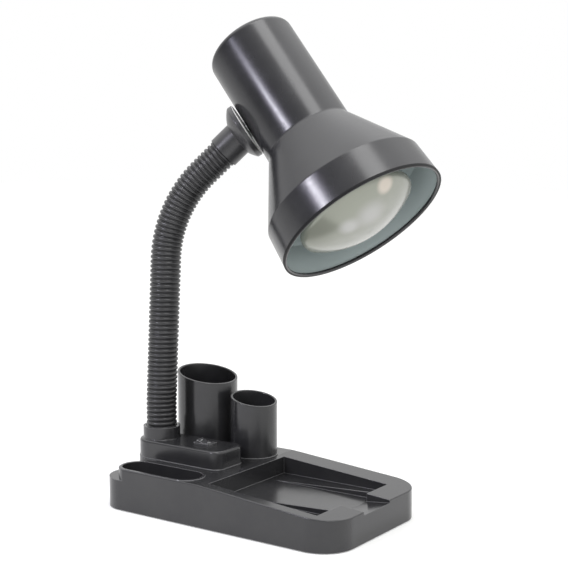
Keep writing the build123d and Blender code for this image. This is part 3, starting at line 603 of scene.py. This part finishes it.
bpy.ops.object.select_all(action="DESELECT")
bpy.ops.curve.primitive_bezier_curve_add(location=(0, 0, 0))
route = bpy.context.object
route.name = "neck_route"
spline = route.data.splines[0]
spline.bezier_points.add(len(neck_legs) + 1 - len(spline.bezier_points))
station = 0.0
for number, point in enumerate(spline.bezier_points):
    before = neck_legs[number - 1] if number else neck_legs[0]
    after = neck_legs[number] if number < len(neck_legs) else neck_legs[-1]
    place, direction = neck_at(station)
    point.handle_left_type = point.handle_right_type = "FREE"
    point.co = place
    # A handle of this length makes a Bezier curve follow an arc, or a straight leg.
    for side, (length, turn), sign in (("handle_left", before, -1), ("handle_right", after, 1)):
        reach = 4 / 3 * math.tan(turn / 4) * length / turn if turn else length / 3
        setattr(point, side, place + direction * reach * sign)
    station += after[0]
route.data.dimensions = "3D"
route.data.resolution_u = route_steps
print("centre line drawn through", len(spline.bezier_points), "points")

# %% [markdown]
# One rib is a rounded ridge with a flat groove beside it. A bevelled ring would give the ridge too,
# but its crest would be too round. So its rings come from a half circle stretched to the rib's
# width and height, with a power below one that blunts the crest a little, as a blown sleeve has it.

# %% Model one rib
rib_count = 67
rib_pitch = sleeve_length / rib_count
rib_width = 0.72 * rib_pitch
rib_blunt = 0.8
sleeve_crest = 11.7 * mm
sleeve_valley = 10.5 * mm
rib_height = sleeve_crest - sleeve_valley
ridge_steps = 8
sleeve_sides = 56

turns = [math.pi * step / ridge_steps for step in range(ridge_steps + 1)]
ridge = [(rib_width * (1 - math.cos(turn)) / 2,
          sleeve_valley + rib_height * abs(math.sin(turn)) ** rib_blunt) for turn in turns]
rib = turn_profile("sleeve_rib", ridge + [(rib_pitch, sleeve_valley)], sleeve_sides)
close_piece(rib)
print("one rib has", len(rib.data.polygons), "faces")

# %% Repeat the rib along the neck
sleeve_wall = 1.2 * mm
joint_pitch = 38.0 * mm
collar_top = 10.5 * mm
cut_margin = 2.0 * mm

# Soft PVC has a satin skin, on which each rib carries a thin grey line of light.
pvc = finish("satin_black_pvc", "#262627", "#2E2E2F", drift=14.0, grain=0.6, depth=0.006,
             smooth=0.28, rough=0.38, IOR=1.54)
bend_joints = [name for name in joints if name.startswith("neck_")]
cuts = [round((neck_rise + joint_pitch * (number + 0.5)) / rib_pitch)
        for number in range(len(bend_joints) - 1)]
cuts = [0] + cuts + [rib_count]
for number, (low, high) in enumerate(zip(cuts, cuts[1:]), start=1):
    bpy.ops.object.select_all(action="DESELECT")
    rib.select_set(True)
    bpy.context.view_layer.objects.active = rib
    bpy.ops.object.duplicate()
    length = bpy.context.object
    length.name = length.data.name = f"neck_sleeve_{number}"
    apply_modifier(length, "ARRAY", count=high - low, use_relative_offset=False,
                   use_constant_offset=True, constant_offset_displace=(0, 0, rib_pitch),
                   use_merge_vertices=True, merge_threshold=merge_gap)
    apply_modifier(length, "SOLIDIFY", thickness=sleeve_wall, offset=-1.0)
    length.location.z = low * rib_pitch
    bpy.ops.object.transform_apply(location=True)
    apply_modifier(length, "CURVE", object=route, deform_axis="POS_Z")
    length.data.materials.clear()
    length.data.materials.append(pvc)
    start = max(low * rib_pitch + cut_margin, collar_top)
    end = min(high * rib_pitch - cut_margin, sleeve_length - ferrule_seat - cut_margin)
    neck_at(start)[0]
    neck_at(end)[0]
    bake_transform(length)
    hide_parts("neck_sleeve")
bpy.data.objects.remove(rib)
bpy.data.objects.remove(route)

# %% [markdown]
# ## The rolled lip
# The mouth of a spun shade is curled inwards, which hides the cut edge and stiffens the rim. The
# curl is a round bead of the same enamel, which catches the light in a thin grey ring. Round its
# outside lies a narrow band of dull black, painted shade for the dark line along the lip. A torus
# would do for the bead from afar, but bead and band share one edge, so both are turned from
# profiles of their own.

# %% Helper that sets a turned piece on an axis
def set_turned(piece, place, axis):
    """Close a turned piece, and put it at its place with its own axis along the given one."""
    close_piece(piece)
    piece.rotation_euler = axis.to_track_quat("Z", "Y").to_euler()
    piece.location = place
    bpy.ops.object.transform_apply(location=True, rotation=True, scale=True)
    print_size(piece)


# %% Lay the band of painted shade
mouth_radius = 64.7 * mm
lip_sides = 128
# Distance past the mouth, and distance outside its radius, in millimetres.
band_profile = ((-2.15, -0.25), (-2.0, -0.09), (-1.8, -0.05), (-0.35, 0.03), (-0.12, 0.01),
                (-0.02, -0.08), (0.03, -0.3), (-0.1, -0.75), (-2.0, -0.75))

# Blacker and duller than the enamel: painted shade along the lip.
lip_shade_lacquer = finish("painted_shade_lip_lacquer", "#0F0F10", "#161617", drift=12.0, grain=0.6,
                      depth=0.004, smooth=0.50, rough=0.62, IOR=1.45,
                      **{"Specular IOR Level": 0.2})
band = [(place * mm, mouth_radius + offset * mm) for place, offset in band_profile]
lip_band = turn_profile("shade_lip", band + band[:1], lip_sides)
set_turned(lip_band, mouth, head_dir)
lip_band.data.materials.append(lip_shade_lacquer)
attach(lip_band, "head")

# %% Curl the bead
bead_radius = 1.2 * mm
bead_depth = 1.25 * mm
bead_inset = 1.55 * mm
bead_steps = 16

curl_enamel = finish("curled_black_enamel", "#1B1B1E", "#232326", drift=25.0, grain=2.2,
                     depth=0.002, smooth=0.20, rough=0.26, IOR=1.52)
turns = [2 * math.pi * step / bead_steps for step in range(bead_steps + 1)]
bead_ring = mouth_radius - bead_inset
bead = [(bead_radius * math.sin(turn) - bead_depth, bead_ring + bead_radius * math.cos(turn))
        for turn in turns]
lip_bead = turn_profile("shade_bead", bead, lip_sides)
set_turned(lip_bead, mouth, head_dir)
lip_bead.data.materials.append(curl_enamel)
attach(lip_bead, "head")

# %% [markdown]
# ## The friction disc
# Between the knuckle and the head lies a thin disc of white nylon. It keeps plastic from rubbing on
# enamel and gives the pivot its even drag. Its white is partly painted light: it stands for the
# light seen through the slit, and it makes the knuckle's reflection in the barrel paler. It is
# stamped from sheet, so it is a flat ring with a small round along its rim. A hole could be cut in a
# cylinder, but a turned profile gives the hole and the round at once.

# %% Stamp the friction disc
disc_radius = 20.9 * mm
disc_bore = 7.0 * mm
disc_thickness = 0.5 * mm
disc_round = 0.15 * mm
disc_sides = 96

# White nylon, partly painted light: it stands for the light through the slit and lightens the
# barrel's reflection of the knuckle.
slit_light_nylon = finish("white_sheet_nylon", "#E6E6E4", "#F0F0EE", drift=10.0, grain=0.5, depth=0.01,
                    smooth=0.35, rough=0.50, IOR=1.53)
disc_profile = [(0.0, disc_bore), (0.0, disc_radius), (disc_thickness - disc_round, disc_radius),
                (disc_thickness, disc_radius - disc_round), (disc_thickness, disc_bore),
                (0.0, disc_bore)]
friction_disc = turn_profile("friction_disc", disc_profile, disc_sides)
set_turned(friction_disc, pivot_foot, pivot_dir)
friction_disc.data.materials.append(slit_light_nylon)
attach(friction_disc, swivel["parent"])

# %% [markdown]
# ## The foam pad
# A thin sheet of EVA foam is glued under the steel plate. It keeps the lamp from sliding and takes
# up the unevenness of a desk. Stiff, glued foam has nothing to sag or swell, so no simulation is
# needed. It starts as a plane of the pad's size; its corners are rounded in plan, tighter at the
# left end as the base is, it is raised to its thickness, and its edges get the small round that a
# die-cut foam edge has.

# %% Cut the pad
pad_low, pad_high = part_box("base_pad")
pad_centre = (pad_low + pad_high) / 2
pad_size = pad_high - pad_low
pad_corners = ((-1, 15.5 * mm), (1, 19.0 * mm))
pad_corner_steps = 14
pad_edge = 0.35 * mm

pad = begin_piece("foam_pad", bpy.ops.mesh.primitive_plane_add, size=1.0, location=pad_centre)
bpy.ops.transform.resize(value=(pad_size.x, pad_size.y, 1))
bpy.ops.transform.translate(value=(0, 0, pad_low.z - pad_centre.z))
for side, corner_radius in pad_corners:
    bpy.ops.mesh.select_all(action="DESELECT")
    bpy.ops.object.mode_set(mode="OBJECT")
    reach = max(vertex.co.x * side for vertex in pad.data.vertices)
    for vertex in pad.data.vertices:
        vertex.select = vertex.co.x * side > reach - pad_edge
    bpy.ops.object.mode_set(mode="EDIT")
    bpy.ops.mesh.bevel(offset=corner_radius, segments=pad_corner_steps, affect="VERTICES")
bpy.ops.mesh.select_all(action="SELECT")
bpy.ops.mesh.extrude_region_move(TRANSFORM_OT_translate={"value": (0, 0, pad_size.z)})
close_piece(pad)
print("pad cut with", len(pad.data.polygons), "faces")

# %% Round the pad's edge
pad_edge_steps = 3
pad_edge_angle = math.radians(60)

# Fine open pores swallow the light, so foam is matt and uneven.
foam = finish("black_eva_foam", "#26282A", "#323436", drift=6.0, grain=0.5, depth=0.10,
              smooth=0.75, rough=0.92, IOR=1.50)
apply_modifier(pad, "BEVEL", width=pad_edge, segments=pad_edge_steps, limit_method="ANGLE",
               angle_limit=pad_edge_angle)
pad.data.materials.append(foam)
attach(pad, "base")
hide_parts("base_pad")
print_size(pad)

# %% [markdown]
# ## The rubber grommet
# A ring of black rubber lines the cable hole in the back wall, with a flange on each side of it. It
# could be three cylinders joined, but its rounded flanges come out best turned like the rib: a ring
# grown point by point round a profile, of which one half is drawn and the other mirrored.

# %% Draw the grommet's profile
ring_low, ring_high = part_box("cable_grommet")
ring_centre = (ring_low + ring_high) / 2
grommet_reach = (ring_high.y - ring_low.y) / 2
flange_radius = (ring_high.x - ring_low.x) / 2
flange_thickness = 1.2 * mm
flange_round = 0.45 * mm
flange_round_steps = 4
throat_radius = 4.8 * mm
bore_radius = 3.25 * mm

turns = [math.pi / 2 * step / flange_round_steps for step in range(flange_round_steps + 1)]
corner = [(flange_round * math.sin(turn), flange_round * math.cos(turn)) for turn in turns]
wall_side = grommet_reach - flange_thickness
open_side = grommet_reach - flange_round
rim = flange_radius - flange_round
hole = bore_radius + flange_round
half = [(0.0, throat_radius), (wall_side, throat_radius), (wall_side, rim)]
half += [(wall_side + flange_round - rise, rim + run) for run, rise in corner[:-1]]
half += [(open_side + run, rim + rise) for run, rise in corner]
half += [(open_side + rise, hole - run) for run, rise in corner]
lower = [(-height, radius) for height, radius in reversed(half)]
print("half of the grommet's profile has", len(half), "points")

# %% Turn the grommet
grommet_sides = 48

# Rubber is a matt dark grey with a faint bloom.
rubber = finish("black_rubber", "#1C1C1D", "#262627", drift=5.0, grain=0.4, depth=0.03,
                smooth=0.55, rough=0.70, IOR=1.52)
grommet = turn_profile("rubber_grommet", lower + half[1:] + [lower[0]], grommet_sides)
set_turned(grommet, ring_centre, Vector((0, 1, 0)))
grommet.data.materials.append(rubber)
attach(grommet, "base")
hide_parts("cable_grommet")

# %% [markdown]
# ## Marks on the rocker
# A bar and a ring are printed in white on the two faces of the rocker, the common marks for on and
# off. A colour mask in the rocker's material could draw them, but a shape of its own keeps its edge
# from close by, so each is a flat shape raised by a coat of ink and set on the slope of its face.

# %% Helper that sets a mark on the rocker
rocker_pivot = Vector(joints["rocker_tilt"]["pos_m"])
rocker_rest = math.radians(8.0)
rocker_half = 5.6 * mm
rocker_crown = 2.4 * mm
rocker_dip = 1.3 * mm
mark_place = 3.5 * mm
ink_coat = 0.04 * mm

# Printing ink is matt, and its thin coat lets some of the black through.
ink = finish("white_pad_print", "#B9BAB8", "#CDCECC", drift=1.0, grain=0.2, depth=0.003,
             smooth=0.45, rough=0.60, IOR=1.50)
face_slope = math.atan2(rocker_crown - rocker_dip, rocker_half)
face_height = rocker_dip + (rocker_crown - rocker_dip) * mark_place / rocker_half


def set_mark(piece, side):
    """Raise a mark by a coat of ink, and set it on the rocker's face on that side of the pivot."""
    close_piece(piece)
    apply_modifier(piece, "SOLIDIFY", thickness=ink_coat, offset=1.0)
    across = Vector((math.cos(rocker_rest), 0, -math.sin(rocker_rest)))
    rise = Vector((math.sin(rocker_rest), 0, math.cos(rocker_rest)))
    piece.rotation_euler = (0, rocker_rest - side * face_slope, 0)
    piece.location = rocker_pivot + across * side * mark_place + rise * face_height
    bpy.ops.object.transform_apply(location=True, rotation=True, scale=True)
    piece.data.materials.append(ink)
    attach(piece, "rocker")
    print_size(piece)


# %% Print the marks
mark_length = 2.4 * mm
mark_stroke = 0.55 * mm
bar_round = mark_stroke / 4
bar_round_steps = 3
ring_sides = 36

bar = begin_piece("mark_on", bpy.ops.mesh.primitive_plane_add, size=1.0)
bpy.ops.transform.resize(value=(mark_stroke, mark_length, 1))
bpy.ops.mesh.bevel(offset=bar_round, segments=bar_round_steps, affect="VERTICES")
set_mark(bar, -1)

ring = begin_piece("mark_off", bpy.ops.mesh.primitive_circle_add, vertices=ring_sides,
                   radius=mark_length / 2, fill_type="NGON")
bpy.ops.mesh.inset(thickness=mark_stroke)
bpy.ops.mesh.delete(type="FACE")
set_mark(ring, 1)
